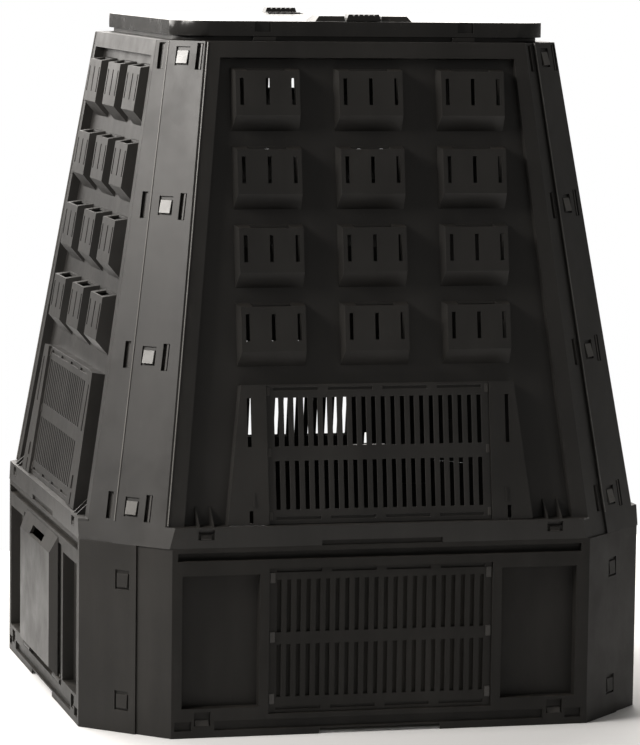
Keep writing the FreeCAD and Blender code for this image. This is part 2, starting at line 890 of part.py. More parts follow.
def add_door_lugs(body):
    """Lug outside each barrel of the door, which holds the hinge pin."""
    near = "door_barrel_shift + door_barrel_length / 2 + seat_gap"
    back = "-(base_panel_floor - wall / 2)"
    for side in ("-1", "1"):
        start, end = stretch(side, near, f"{near} + door_lug_length")
        outline = lug("-door_axis_half", "door_axis_height", "barrel_radius", "-1", back)
        pad(body, cross(start), [outline], "door_lug_length")
        bore(
            body,
            cross(end),
            [("-door_axis_half", "door_axis_height", "pin_radius")],
            "door_lug_length",
        )


def make_grille(label, plane, low, high, slots, border):
    """Vent grille: a plate with two rows of slots inside a border of long slots.

    slots has the foot, height and pitch of the slot rows, border the foot and pitch of its rows."""
    body = new_body(label)
    slot_low, slot_height, row_pitch = slots
    border_low, border_pitch = border
    pad(body, plane("-vent_plate"), [box("-vent_half", "vent_half", low, high)], "vent_plate")
    slot = middle_box(
        first_of("vent_slot_pitch", "vent_slot_count"),
        "vent_slot_width",
        slot_low,
        f"{slot_low} + {slot_height}",
    )
    cut = pocket(body, plane("wall"), [slot], "vent_plate + floor_cut")
    grid(body, [cut], ("vent_slot_pitch", "vent_slot_count"), (row_pitch, "vent_row_count"))
    long_slot = middle_box(
        first_of("border_slot_pitch", "border_slot_count"),
        "border_slot_length",
        border_low,
        f"{border_low} + border_slot_height",
    )
    cut = pocket(body, plane("wall"), [long_slot], "vent_plate + floor_cut")
    grid(body, [cut], ("border_slot_pitch", "border_slot_count"), (border_pitch, "vent_row_count"))
    return body


def upper_vent_plane(offset):
    """Front face of the upper grille, moved outwards by an offset."""
    return slope(f"vent_floor + vent_plate + ({offset})")


def base_vent_plane(offset):
    """Front face of a base grille, moved outwards by an offset."""
    return upright(f"base_panel_floor + vent_plate + ({offset})")


def make_door(label):
    """Emptying door: a plate with a raised bevelled pan and two hinge barrels at its foot."""
    body = new_body(label)
    half = "(vent_half - door_gap)"
    low = "(door_axis_height + barrel_radius + door_gap)"
    high = "(base_vent_high - door_gap)"
    back = "(base_panel_floor + running_gap)"
    pad(body, upright(back), [box(f"-{half}", half, low, high)], "vent_plate")
    for side in ("-1", "1"):
        start = f"{side} * door_barrel_shift - door_barrel_length / 2"
        arm = [
            ("-door_axis_half", "door_axis_height"),
            (f"-{back}", "door_axis_height"),
            (f"-{back}", f"{low} + wall"),
            ("-door_axis_half", f"{low} + wall"),
        ]
        pad(body, cross(start), [arm], "door_barrel_length")
        round_pad(
            body,
            cross(start),
            [("-door_axis_half", "door_axis_height", "barrel_radius")],
            "door_barrel_length",
        )
        bore(
            body,
            cross(f"{start} + door_barrel_length"),
            [("-door_axis_half", "door_axis_height", "pin_radius + running_gap")],
            "door_barrel_length",
        )

    riser_half = "(door_riser_half - wall)"
    hollow_half = "(door_face_half - wall)"
    riser_low = f"{low} + wall"
    riser_high = "door_riser_high - wall"
    pan_back = "base_half + seat_gap"
    face = f"{pan_back} + door_pan_reach"
    pad(
        body,
        upright(f"{back} + vent_plate / 2"),
        [box("-door_riser_half", "door_riser_half", low, "door_riser_high")],
        f"{pan_back} + wall / 2 - ({back} + vent_plate / 2)",
    )
    frustum(
        body, "AdditiveWedge", upright(pan_back), "door_pan_reach",
        ("-door_pan_half", "door_pan_half", "door_pan_low", "door_pan_high"),
        ("-door_face_half", "door_face_half", "door_face_low", "door_face_high"),
    )
    frustum(
        body, "SubtractiveWedge", upright(f"{pan_back} - wall / 2"), "door_pan_reach - wall / 2",
        (f"-{riser_half}", riser_half, riser_low, riser_high),
        (f"-{hollow_half}", hollow_half, "door_face_low + wall", "door_face_high - wall"),
    )
    pocket(
        body,
        upright(f"{pan_back} - wall / 4"),
        [box(f"-{riser_half}", riser_half, riser_low, riser_high)],
        f"{pan_back} - ({back}) + wall",
    )
    finger_slot = middle_box("0", "finger_slot_width", "finger_slot_low", "finger_slot_high")
    pocket(body, upright(face), [finger_slot], "door_pan_reach")
    return body


def make_pins(label):
    """Pair of hinge pins of one door."""
    body = new_body(label)
    length = "(door_barrel_length + seat_gap + door_lug_length)"
    near = "door_barrel_shift - door_barrel_length / 2"
    for side in ("-1", "1"):
        start = stretch(side, near, f"{near} + {length}")[0]
        round_pad(body, cross(start), [("-door_axis_half", "door_axis_height", "pin_radius")], length)
    return body


def rounded_square(half, radius):
    """Square with round corners, counter-clockwise, each side followed by its corner."""
    flat = f"({half} - {radius})"
    return [
        (f"-{flat}", f"-{half}"),
        (flat, f"-{half}"),
        (half, f"-{flat}"),
        (half, flat),
        (flat, half),
        (f"-{flat}", half),
        (f"-{half}", flat),
        (f"-{half}", f"-{flat}"),
    ]


def make_top_frame(label):
    """Flat ring that ties the upper panels together and carries the lid."""
    body = new_body(label)
    outline = rounded_square("frame_half", "corner_radius")
    pad(body, level("body_top"), [outline], "frame_height", "corner_radius")
    inner_radius = "corner_radius - frame_half + frame_inner_half"
    pocket(
        body,
        level("frame_top"),
        [rounded_square("frame_inner_half", f"({inner_radius})")],
        "frame_height",
        inner_radius,
    )
    for side in ("-1", "1"):
        hook = middle_box(
            f"{side} * hook_shift", "hook_length", "-frame_half - hook_reach", "-frame_half + wall"
        )
        pad(body, level("body_top + 2 * running_gap"), [hook], "frame_height - 4 * running_gap")
    for side in ("-1", "1"):
        start = f"{side} * lid_notch_shift - hinge_lug_width / 2"
        arm = [
            ("frame_half - 2 * wall", "body_top + wall"),
            ("hinge_axis_half + hinge_barrel_radius", "frame_top + wall"),
            ("hinge_axis_half + hinge_barrel_radius", "hinge_axis_height + hinge_barrel_radius / 2"),
            ("hinge_axis_half + hinge_barrel_radius / 2", "hinge_axis_height + hinge_barrel_radius"),
            ("hinge_axis_half - hinge_barrel_radius", "hinge_axis_height + hinge_barrel_radius"),
            ("frame_half - 2 * wall", "frame_top"),
        ]
        pad(body, cross(start), [arm], "hinge_lug_width")
        bore(
            body,
            cross(f"{start} + hinge_lug_width"),
            [("hinge_axis_half", "hinge_axis_height", "pin_radius")],
            "hinge_lug_width",
        )
    return body


def make_lid(label):
    """Square lid pan with hinge cheeks at the rear and a grip at each end."""
    body = new_body(label)
    outline = rounded_square("lid_half", "corner_radius")
    pad(body, level("lid_foot"), [outline], "lid_top - lid_foot", "corner_radius")
    inner_half = "(lid_half - wall)"
    inner_radius = "(corner_radius - wall)"
    pocket(
        body,
        level("lid_top - wall"),
        [rounded_square(inner_half, inner_radius)],
        "lid_top - lid_foot",
        inner_radius,
    )
    for end, rise in (("-1", "grip_rise"), ("1", "rear_grip_rise")):
        foot = stretch(end, "grip_inner", "grip_outer")
        crest = stretch(end, "grip_crest_inner", "grip_crest_outer")
        frustum(
            body, "AdditiveWedge", level("lid_top"), rise,
            ("-grip_half", "grip_half", *foot),
            ("-grip_crest_half", "grip_crest_half", *crest),
        )
        low, high = stretch(end, "grip_inner - wall", "grip_outer + wall")
        channel = box("-knob_half - grip_channel_gap", "knob_half + grip_channel_gap", low, high)
        pocket(body, level("knob_top"), [channel], "knob_top - lid_top - grip_floor")
        slot_half = "(stem_half + seat_gap)"
        low, high = stretch(end, "stem_inner - seat_gap", "stem_outer + latch_travel + seat_gap")
        pocket(body, level("knob_top"), [box(f"-{slot_half}", slot_half, low, high)], "knob_top - lid_foot")
    front_notches = []
    rear_notches = []
    for side in ("-1", "1"):
        shift = f"{side} * lid_notch_shift"
        for end, notches in (("-1", front_notches), ("1", rear_notches)):
            low, high = stretch(end, "lid_half - 2 * wall", "lid_half + wall")
            notches.append(middle_box(shift, "lid_notch_width", low, high))
    pocket(body, level("lid_top + wall"), front_notches, "lid_top + wall - lid_notch_floor")
    pocket(body, level("lid_top + wall"), rear_notches, "lid_top + wall - lid_foot + wall")
    cheek_far = "lid_notch_shift - lid_notch_width / 2"
    cheek_back = "hinge_axis_half - hinge_barrel_radius"
    for side in ("-1", "1"):
        start, end = stretch(side, f"{cheek_far} - hinge_cheek_width", cheek_far)
        outline = lug("hinge_axis_half", "hinge_axis_height", "hinge_barrel_radius", "1", cheek_back)
        pad(body, cross(start), [outline], "hinge_cheek_width")
        bore(
            body,
            cross(end),
            [("hinge_axis_half", "hinge_axis_height", "pin_radius + running_gap")],
            "hinge_cheek_width",
        )
    return body


def make_lid_pins(label):
    """Pair of hinge pins of the lid."""
    body = new_body(label)
    near = "lid_notch_shift - lid_notch_width / 2 - hinge_cheek_width"
    far = "lid_notch_shift + hinge_lug_width / 2"
    for side in ("-1", "1"):
        start = stretch(side, near, far)[0]
        circle = ("hinge_axis_half", "hinge_axis_height", "pin_radius")
        round_pad(body, cross(start), [circle], f"{far} - ({near})")
    return body


def make_latch(label):
    """Sliding lid latch: ribbed knob on the grip, stem through the lid and toe beneath it."""
    body = new_body(label)
    seat = "(lid_top + grip_floor + running_gap)"
    foot = ("-knob_half", "knob_half", "-knob_outer", "-knob_inner")
    crest = ("-knob_top_half", "knob_top_half", "-knob_outer", "-knob_inner")
    frustum(body, "AdditiveWedge", level(seat), f"knob_top - {seat}", foot, crest)
    grooves = []
    for step in range(int(number("knob_groove_count"))):
        middle = f"({first_of('knob_groove_pitch', 'knob_groove_count')} + {step} * knob_groove_pitch)"
        grooves.append(middle_box(middle, "knob_groove_width", "-knob_outer - wall", "-knob_inner + wall"))
    pocket(body, level("knob_top"), grooves, "knob_groove_depth")
    pad(body, level(seat), [box("-knob_half", "knob_half", "-knob_inner - wall", "-stem_inner")], "wall")
    toe_top = "(body_top - 2 * running_gap)"
    toe_foot = f"({toe_top} - toe_thickness)"
    pad(
        body,
        level(toe_foot),
        [box("-stem_half", "stem_half", "-stem_outer", "-stem_inner")],
        f"{seat} - {toe_foot} + wall / 2",
    )
    pad(
        body,
        level(toe_foot),
        [box("-stem_half", "stem_half", "-frame_inner_half + toe_gap", "-stem_inner")],
        "toe_thickness",
    )
    return body


def copy_turned(source, label, quarter_turns):
    """The same moulding on another side of the bin."""
    twin = doc.addObject("Part::Compound", label)
    twin.Label = label
    twin.Links = [source]
    turn = FreeCAD.Rotation(FreeCAD.Vector(0, 0, 1), 90 * quarter_turns)
    twin.Placement = FreeCAD.Placement(FreeCAD.Vector(0, 0, 0), turn)
    return twin


def build():
    """Make every piece in its place and return them all."""
    nodes = []
    upper = make_upper_panel("upper_panel_front")
    vent = make_grille(
        "upper_grille_front",
        upper_vent_plane,
        "seat_gap",
        "housing_rise",
        ("upper_slot_low", "upper_slot_height", "upper_row_pitch"),
        ("upper_border_low", "upper_border_pitch"),
    )
    base = make_base_panel("base_panel_front", False)
    base_vent = make_grille(
        "base_grille_front",
        base_vent_plane,
        "base_vent_low + seat_gap",
        "base_vent_high - seat_gap",
        ("base_slot_low", "base_slot_height", "base_row_pitch"),
        ("base_vent_low + base_border_low", "base_border_pitch"),
    )
    nodes += [upper, vent, base, base_vent]
    for turns, side in ((1, "right"), (2, "rear"), (3, "left")):
        nodes.append(copy_turned(upper, "upper_panel_" + side, turns))
        nodes.append(copy_turned(vent, "upper_grille_" + side, turns))
    nodes.append(copy_turned(base, "base_panel_rear", 2))
    nodes.append(copy_turned(base_vent, "base_grille_rear", 2))
    door_panel = make_base_panel("door_panel_source", True)
    door = make_door("door_source")
    pins = make_pins("door_pins_source")
    for turns, side in ((1, "right"), (3, "left")):
        nodes.append(copy_turned(door_panel, "base_panel_" + side, turns))
        nodes.append(copy_turned(door, "base_door_" + side, turns))
        nodes.append(copy_turned(pins, "door_pins_" + side, turns))
    nodes.append(make_top_frame("top_frame"))
    nodes.append(make_lid("lid"))
    nodes.append(make_lid_pins("lid_pins"))
    latch = make_latch("lid_latch_front")
    nodes.append(latch)
    nodes.append(copy_turned(latch, "lid_latch_rear", 2))
    return nodes


def check():
    """Stop on any failed feature or unsound shape."""
    for item in doc.Objects:
        if "Invalid" in item.State or "Error" in item.State:
            raise RuntimeError(f"{item.Label} did not build: {item.State}")
    for node in NODES:
        if node.Shape.isNull() or not node.Shape.isValid():
            raise RuntimeError(f"{node.Label} has no sound shape")


fill_sheet()
NODES = build()
doc.recompute()
check()
os.makedirs("parts", exist_ok=True)
for node in NODES:
    node.Shape.exportStep(f"parts/{node.Label}.step")
    print(node.Label, len(node.Shape.Solids), len(node.Shape.Faces), round(node.Shape.Volume))
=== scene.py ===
import math
from collections import namedtuple

import bpy
from mathutils import Matrix, Vector


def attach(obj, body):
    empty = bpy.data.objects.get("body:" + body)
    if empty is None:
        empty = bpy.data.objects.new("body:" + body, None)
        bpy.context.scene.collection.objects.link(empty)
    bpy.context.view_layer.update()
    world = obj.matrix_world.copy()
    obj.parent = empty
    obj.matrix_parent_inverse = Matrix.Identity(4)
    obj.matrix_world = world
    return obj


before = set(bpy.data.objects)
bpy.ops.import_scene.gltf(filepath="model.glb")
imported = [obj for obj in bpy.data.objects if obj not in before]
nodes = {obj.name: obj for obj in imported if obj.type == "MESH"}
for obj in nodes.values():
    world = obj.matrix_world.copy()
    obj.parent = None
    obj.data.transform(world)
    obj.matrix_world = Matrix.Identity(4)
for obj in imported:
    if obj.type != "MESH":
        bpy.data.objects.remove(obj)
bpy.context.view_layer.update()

scene = bpy.context.scene


# Camera, in metres and degrees, as the photograph was taken

YAW = 13.978
PITCH = 6.489
ROLL = 0.737
DISTANCE = 6.864
AIM_ACROSS = 0.0103
AIM_HEIGHT = 0.5605
FOCAL_PIXELS = 3768.35
PICTURE_WIDTH = 640
SENSOR_WIDTH = 36
FAR_CLIP = 100


def place_camera():
    """Put the camera where the photograph was taken from."""
    yaw, pitch, roll = (math.radians(angle) for angle in (YAW, PITCH, ROLL))
    forward = Vector((
        math.sin(yaw) * math.cos(pitch),
        math.cos(yaw) * math.cos(pitch),
        -math.sin(pitch),
    ))
    level_right = Vector((math.cos(yaw), -math.sin(yaw), 0))
    level_up = level_right.cross(forward)
    right = level_right * math.cos(roll) + level_up * math.sin(roll)
    up = level_up * math.cos(roll) - level_right * math.sin(roll)
    aim = level_right * AIM_ACROSS + Vector((0, 0, AIM_HEIGHT))
    eye = aim - forward * DISTANCE
    lens = bpy.data.cameras.new("camera")
    lens.sensor_fit = "HORIZONTAL"
    lens.sensor_width = SENSOR_WIDTH
    lens.lens = FOCAL_PIXELS * SENSOR_WIDTH / PICTURE_WIDTH
    lens.clip_end = FAR_CLIP
    camera = bpy.data.objects.new("camera", lens)
    turn = Matrix((right, up, -forward)).transposed().to_4x4()
    camera.matrix_world = Matrix.Translation(eye) @ turn
    scene.collection.objects.link(camera)
    scene.camera = camera


# Node materials

class Shader:
    """Short calls for building one node material."""

    def __init__(self, name):
        self.material = bpy.data.materials.new(name)
        self.material.use_nodes = True
        self.tree = self.material.node_tree
        self.tree.nodes.clear()
        self.output = self.add("ShaderNodeOutputMaterial")
        self.surface = self.add("ShaderNodeBsdfPrincipled")
        self.link(self.surface.outputs["BSDF"], self.output.inputs["Surface"])
        self.place = self.add("ShaderNodeTexCoord").outputs["Object"]

    def add(self, kind, **settings):
        """A new node with its settings."""
        node = self.tree.nodes.new(kind)
        for key, value in settings.items():
            setattr(node, key, value)
        return node

    def link(self, output, target):
        """A wire from one socket to another."""
        self.tree.links.new(output, target)

    def noise(self, scale, detail, rough, stretch):
        """Noise over the object's own coordinates."""
        mapping = self.add("ShaderNodeMapping")
        mapping.inputs["Scale"].default_value = stretch
        self.link(self.place, mapping.inputs["Vector"])
        node = self.add("ShaderNodeTexNoise")
        node.inputs["Scale"].default_value = scale
        node.inputs["Detail"].default_value = detail
        node.inputs["Roughness"].default_value = rough
        self.link(mapping.outputs["Vector"], node.inputs["Vector"])
        return node.outputs["Fac"]

    def ramp(self, source, low, high, out_low=0.0, out_high=1.0):
        """A value mapped from one range to another."""
        node = self.add("ShaderNodeMapRange")
        node.inputs["From Min"].default_value = low
        node.inputs["From Max"].default_value = high
        node.inputs["To Min"].default_value = out_low
        node.inputs["To Max"].default_value = out_high
        self.link(source, node.inputs["Value"])
        return node.outputs["Result"]

    def math(self, operation, first, second):
        """A sum of two values, each a number or a socket."""
        node = self.add("ShaderNodeMath", operation=operation)
        for index, value in enumerate((first, second)):
            if isinstance(value, (int, float)):
                node.inputs[index].default_value = value
            else:
                self.link(value, node.inputs[index])
        return node.outputs["Value"]

    def blend(self, amount, first, second):
        """A mix of two colours, each a tuple or a socket."""
        node = self.add("ShaderNodeMix", data_type="RGBA")
        self.link(amount, node.inputs["Factor"])
        for socket, value in ((node.inputs["A"], first), (node.inputs["B"], second)):
            if isinstance(value, tuple):
                socket.default_value = (*value, 1)
            else:
                self.link(value, socket)
        return node.outputs["Result"]

    def split(self, vector):
        """The three parts of a vector."""
        node = self.add("ShaderNodeSeparateXYZ")
        self.link(vector, node.inputs["Vector"])
        return node.outputs

    def bump(self, height, distance, strength, under=None):
        """A normal raised by a height, over another normal where one is given."""
        node = self.add("ShaderNodeBump")
        node.inputs["Distance"].default_value = distance
        node.inputs["Strength"].default_value = strength
        self.link(height, node.inputs["Height"])
        if under:
            self.link(under, node.inputs["Normal"])
        return node.outputs["Normal"]


# Noise patterns: scale, detail, roughness and stretch

EVEN = (1, 1, 1)
CLOUDS = (3.0, 6, 0.6, EVEN)
FLOW_MARKS = (9.0, 5, 0.6, (1, 1, 0.18))
SPECKS = (55.0, 8, 0.7, EVEN)
SCRATCHES = (26.0, 9, 0.75, (1, 1, 0.5))
GLOSS_PATCHES = (14.0, 6, 0.6, EVEN)
FINE_GRAIN = (1500.0, 3, 0.6, EVEN)
SOFT_WAVES = (22.0, 2, 0.5, EVEN)
PAPER_CLOUDS = (1.5, 3, 0.5, EVEN)

# Ranges that the patterns are cut to

CLOUD_RANGE = (0.35, 0.65)
FLOW_RANGE = (0.4, 0.75)
UPWARD_RANGE = (0.25, 0.95)
SPECK_RANGE = (0.42, 0.66)
SCRATCH_RANGE = (0.60, 0.72)
GLOSS_RANGE = (0.3, 0.7)
PAPER_RANGE = (0.3, 0.7)

# Plastic: colours, strengths, and relief in metres

DUST = (0.115, 0.100, 0.082)
SCUFF = (0.075, 0.070, 0.064)
FLOW_STRENGTH = 0.18
SCRATCH_STRENGTH = 0.15
GLOSSIER = 0.06
DULLER = 0.08
DUST_DULLING = 0.3
WAVE_HEIGHT = 0.0008
WAVE_STRENGTH = 0.25
GRAIN_HEIGHT = 0.00006
GRAIN_STRENGTH = 0.6
PLASTIC_IOR = 1.5


def moulded_plastic(name, base, second, rough, dust=0.35, shine=0.5):
    """Black recycled plastic: cloudy tint, flow marks, dust on top faces, scuffs and fine grain."""
    shader = Shader(name)
    cloud = shader.ramp(shader.noise(*CLOUDS), *CLOUD_RANGE)
    flow = shader.ramp(shader.noise(*FLOW_MARKS), *FLOW_RANGE)
    tint = shader.blend(cloud, base, second)
    tint = shader.blend(shader.math("MULTIPLY", flow, FLOW_STRENGTH), tint, SCUFF)
    normal = shader.add("ShaderNodeNewGeometry").outputs["Normal"]
    upward = shader.ramp(shader.split(normal)["Z"], *UPWARD_RANGE)
    speck = shader.ramp(shader.noise(*SPECKS), *SPECK_RANGE)
    dusty = shader.math("MULTIPLY", shader.math("MULTIPLY", upward, speck), dust)
    tint = shader.blend(dusty, tint, DUST)
    scratch = shader.ramp(shader.noise(*SCRATCHES), *SCRATCH_RANGE)
    tint = shader.blend(shader.math("MULTIPLY", scratch, SCRATCH_STRENGTH), tint, SCUFF)
    shader.link(tint, shader.surface.inputs["Base Color"])
    gloss = shader.noise(*GLOSS_PATCHES)
    patch = shader.ramp(gloss, *GLOSS_RANGE, rough - GLOSSIER, rough + DULLER)
    dulled = shader.math("ADD", patch, shader.math("MULTIPLY", dusty, DUST_DULLING))
    shader.link(dulled, shader.surface.inputs["Roughness"])
    relief = shader.bump(shader.noise(*SOFT_WAVES), WAVE_HEIGHT, WAVE_STRENGTH)
    relief = shader.bump(shader.noise(*FINE_GRAIN), GRAIN_HEIGHT, GRAIN_STRENGTH, relief)
    shader.link(relief, shader.surface.inputs["Normal"])
    shader.surface.inputs["IOR"].default_value = PLASTIC_IOR
    shader.surface.inputs["Specular IOR Level"].default_value = shine
    return shader.material


PANEL = moulded_plastic(
    "panel_plastic", (0.0125, 0.0118, 0.0110), (0.0175, 0.0164, 0.0150), 0.42, dust=0.15)
BASE = moulded_plastic(
    "base_plastic", (0.0100, 0.0094, 0.0084), (0.0145, 0.0134, 0.0120), 0.56, dust=0.25, shine=0.24)
GRILLE = moulded_plastic(
    "grille_plastic", (0.0130, 0.0125, 0.0118), (0.0180, 0.0170, 0.0160), 0.40)
DOOR = moulded_plastic(
    "door_plastic", (0.0095, 0.0088, 0.0080), (0.0130, 0.0121, 0.0111), 0.46, shine=0.24)
LID = moulded_plastic(
    "lid_plastic", (0.0130, 0.0126, 0.0120), (0.0175, 0.0168, 0.0160), 0.22, dust=0.2)
FRAME = moulded_plastic(
    "frame_plastic", (0.0120, 0.0115, 0.0108), (0.0165, 0.0155, 0.0145), 0.40)
PIN = moulded_plastic(
    "pin_plastic", (0.0110, 0.0110, 0.0110), (0.0150, 0.0150, 0.0150), 0.35)
# Painted highlight: a much lighter copy of the black plastic for the glossy clip tongues
TONGUE_HIGHLIGHT = moulded_plastic(
    "tongue_highlight_plastic", (0.060, 0.058, 0.054), (0.080, 0.076, 0.070), 0.30, dust=0.6)
# Painted light: a lighter copy of the black plastic for the slot ribs and the sheets behind the
# slots; the grille clips use it too
LIT_RIB = moulded_plastic(
    "lit_rib_plastic", (0.034, 0.032, 0.030), (0.046, 0.043, 0.040), 0.36)
# Painted highlight: pale plastic for the bright lines along the corner seams
SEAM_HIGHLIGHT = moulded_plastic(
    "seam_highlight_plastic", (0.10, 0.097, 0.092), (0.15, 0.145, 0.138), 0.30, dust=0.2)
# Painted shade: dark plastic for the sheets behind the base grilles
GRILLE_SHADE = moulded_plastic(
    "grille_shade_plastic", (0.0100, 0.0096, 0.0085), (0.0230, 0.0205, 0.0170), 0.60, dust=0.2, shine=0.2)


# The solids

NODE_MATERIALS = {
    "upper_panel": PANEL,
    "upper_grille": GRILLE,
    "base_panel": BASE,
    "base_grille": BASE,
    "base_door": DOOR,
    "door_pins": PIN,
    "top_frame": FRAME,
    "lid_pins": PIN,
    "lid_latch": LID,
    "lid": LID,
}
FLAT_KINDS = ("upper_panel", "upper_grille", "base_panel", "base_grille", "base_door", "lid_latch")

# Moulded edges, in metres and degrees

EDGE_RADIUS = 0.0007
EDGE_SEGMENTS = 2
WELD_DISTANCE = 0.00001
FLAT_ANGLE = 0.5
SHARP_ANGLE = 25


def finish_nodes():
    """Give each solid its material and soft moulded edges."""
    for name, item in nodes.items():
        kind = next(key for key in NODE_MATERIALS if name.startswith(key))
        if kind in FLAT_KINDS:
            item.data.shade_flat()
        item.data.materials.clear()
        item.data.materials.append(NODE_MATERIALS[kind])
        weld = item.modifiers.new("weld", "WELD")
        weld.merge_threshold = WELD_DISTANCE
        flat = item.modifiers.new("flat", "DECIMATE")
        flat.decimate_type = "DISSOLVE"
        flat.angle_limit = math.radians(FLAT_ANGLE)
        edge = item.modifiers.new("edge", "BEVEL")
        edge.width = EDGE_RADIUS
        edge.segments = EDGE_SEGMENTS
        edge.limit_method = "ANGLE"
        edge.angle_limit = math.radians(SHARP_ANGLE)
        edge.harden_normals = kind not in FLAT_KINDS
        edge.use_clamp_overlap = True


# Planes that the small mouldings sit on: origin in metres, turn and tilt

PANEL_RISE = 811
PANEL_LEAN_IN = 130.5
CORNER_LEAN_IN = 219.9
LEAN = math.atan(PANEL_LEAN_IN / PANEL_RISE)
CORNER_LEAN = math.atan(CORNER_LEAN_IN / math.sqrt(2) / PANEL_RISE)
UPRIGHT = math.pi / 2
QUARTER_TURN = math.pi / 2
DIAGONAL = -math.pi / 4

UPPER_FRONT = ((0, -0.4855, 0.359), 0, UPRIGHT - LEAN)
UPPER_CORNER = ((-0.4289, -0.4289, 0.359), DIAGONAL, UPRIGHT - CORNER_LEAN)
BASE_FRONT = ((0, -0.5, 0), 0, UPRIGHT)
BASE_CORNER = ((-0.43365, -0.43365, 0), DIAGONAL, UPRIGHT)
LID_FRONT = ((0, -0.3315, 0), 0, UPRIGHT)

QUARTERS = range(4)
GRILLE_QUARTERS = (0, 2)
SIDES = (-1, 1)

# Small mouldings, in metres: place across, width, height, back plane, reach at foot and at top

Shape = namedtuple("Shape", "across width height back foot top")

UPPER_TONGUE = Shape(0.0065, 0.022, 0.023, 0.0008, 0.0042, 0.0016)
LOW_TONGUE = Shape(-0.0035, 0.021, 0.022, 0.0008, 0.0026, 0.0014)
# Painted shade: sheets behind the corner slots and the skirt's latch windows
WIDE_SLOT_SHADE_SHEET = Shape(0.0405, 0.018, 0.052, -0.008, -0.0055, -0.0055)
NARROW_SLOT_SHADE_SHEET = Shape(-0.039, 0.018, 0.052, -0.011, -0.0085, -0.0085)
LATCH_WINDOW_SHADE_SHEET = Shape(0.3065, 0.034, 0.0195, -0.0100, -0.0085, -0.0085)
WIDE_SLOT_RIB = Shape(0.0425, 0.0040, 0.045, -0.0060, 0.0006, 0.0006)
NARROW_SLOT_RIB = Shape(-0.0338, 0.0024, 0.045, -0.0090, -0.0022, -0.0022)
UPPER_CLIP = Shape(0.1925, 0.006, 0.014, 0.002, 0.0040, 0.0034)
FOOT_CLIP = Shape(0.311, 0.024, 0.010, -0.0085, -0.0015, -0.006)
SKIRT_CATCH = Shape(0.3065, 0.018, 0.004, -0.006, -0.0002, -0.002)
LOW_CLIP = Shape(0.1905, 0.009, 0.018, -0.006, -0.0028, -0.0034)
# Painted shade: a dark sheet behind each base grille
GRILLE_SHADE_SHEET = Shape(0, 0.380, 0.217, -0.0130, -0.0111, -0.0111)
NOTCH_BACKING = Shape(0.180, 0.034, 0.019, -0.0085, -0.0065, -0.0065)

# Heights of their middles on those planes, in metres

UPPER_ROWS = [0.028 + 0.257 * row for row in range(4)]
LOW_ROWS = [0.055 + 0.208 * row for row in range(2)]
TONGUE_DROP = 0.0015
UPPER_CLIP_ROWS = (0.014, 0.122, 0.226)
LOW_CLIP_ROWS = (0.062, 0.168, 0.270)
FOOT_CLIP_ROW = 0.0245
LATCH_WINDOW_ROW = 0.34575
SKIRT_CATCH_ROW = 0.3405
GRILLE_SHADE_ROW = 0.1655
NOTCH_ROW = 1.193

# Painted highlights, as bright lines along the corner seams: foot, head and half their width, in
# metres

SEAM_HIGHLIGHT_LINES = (
    ((-0.3702, -0.4861, 0.3610), (-0.2806, -0.3556, 1.1690)),
    ((-0.4476, -0.4131, 0.3610), (-0.3375, -0.3030, 1.1690)),
)
LINE_HALF = 0.0010

# Rounding of the mouldings' edges, in metres

BLOCK_ROUNDING = 0.0006
TONGUE_ROUNDING = 0.0012
LINE_ROUNDING = 0.0003
ROUNDING_SEGMENTS = 2

BLOCK_FACES = (
    (3, 2, 1, 0),
    (4, 5, 6, 7),
    (0, 1, 5, 4),
    (1, 2, 6, 5),
    (2, 3, 7, 6),
    (3, 0, 4, 7),
)


def side_turn(quarter):
    """The turn about the upright axis that takes the front to one of the four sides."""
    return Matrix.Rotation(quarter * QUARTER_TURN, 4, "Z")


def facing(plane, quarter=0):
    """Frame of a plane on one of the four sides: across, up and out."""
    origin, turn, tilt = plane
    place = side_turn(quarter) @ Matrix.Translation(origin)
    return place @ Matrix.Rotation(turn, 4, "Z") @ Matrix.Rotation(tilt, 4, "X")


def span(middle, width):
    """Both ends of a width about its middle."""
    return middle - width / 2, middle + width / 2


def block(at, height, shape, side=1):
    """One moulding on a plane, its middle at a height, mirrored for side -1."""
    across = span(side * shape.across, shape.width)
    return at, across, span(height, shape.height), shape.back, shape.foot, shape.top


def bar(start, end):
    """A thin straight bar between two points, as a block."""
    along = (end - start).normalized()
    out = Vector((start.x, start.y, 0)).normalized()
    across = along.cross(out).normalized()
    axes = Matrix((across, along, across.cross(along))).transposed().to_4x4()
    width = (-LINE_HALF, LINE_HALF)
    length = (0, (end - start).length)
    return Matrix.Translation(start) @ axes, width, length, -LINE_HALF, LINE_HALF, LINE_HALF


def add_piece(name, body, material, blocks, rounding=BLOCK_ROUNDING):
    """One piece made of blocks, riding on a body."""
    places = []
    faces = []
    for at, (left, right), (low, high), back, foot, top in blocks:
        first = len(places)
        corners = (
            (left, low, back), (right, low, back), (right, high, back), (left, high, back),
            (left, low, foot), (right, low, foot), (right, high, top), (left, high, top),
        )
        places.extend(at @ Vector(corner) for corner in corners)
        faces.extend([first + corner for corner in face] for face in BLOCK_FACES)
    mesh = bpy.data.meshes.new(name)
    mesh.from_pydata(places, [], faces)
    mesh.materials.append(material)
    piece = bpy.data.objects.new(name, mesh)
    scene.collection.objects.link(piece)
    bevel = piece.modifiers.new("edge", "BEVEL")
    bevel.width = rounding
    bevel.segments = ROUNDING_SEGMENTS
    bevel.limit_method = "ANGLE"
    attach(piece, body)


def corner_blocks(plane, rows, *shapes):
    """Blocks of each shape in each row, on the corner planes of the four sides."""
    blocks = []
    for quarter in QUARTERS:
        at = facing(plane, quarter)
        for row in rows:
            blocks.extend(block(at, row, shape) for shape in shapes)
    return blocks


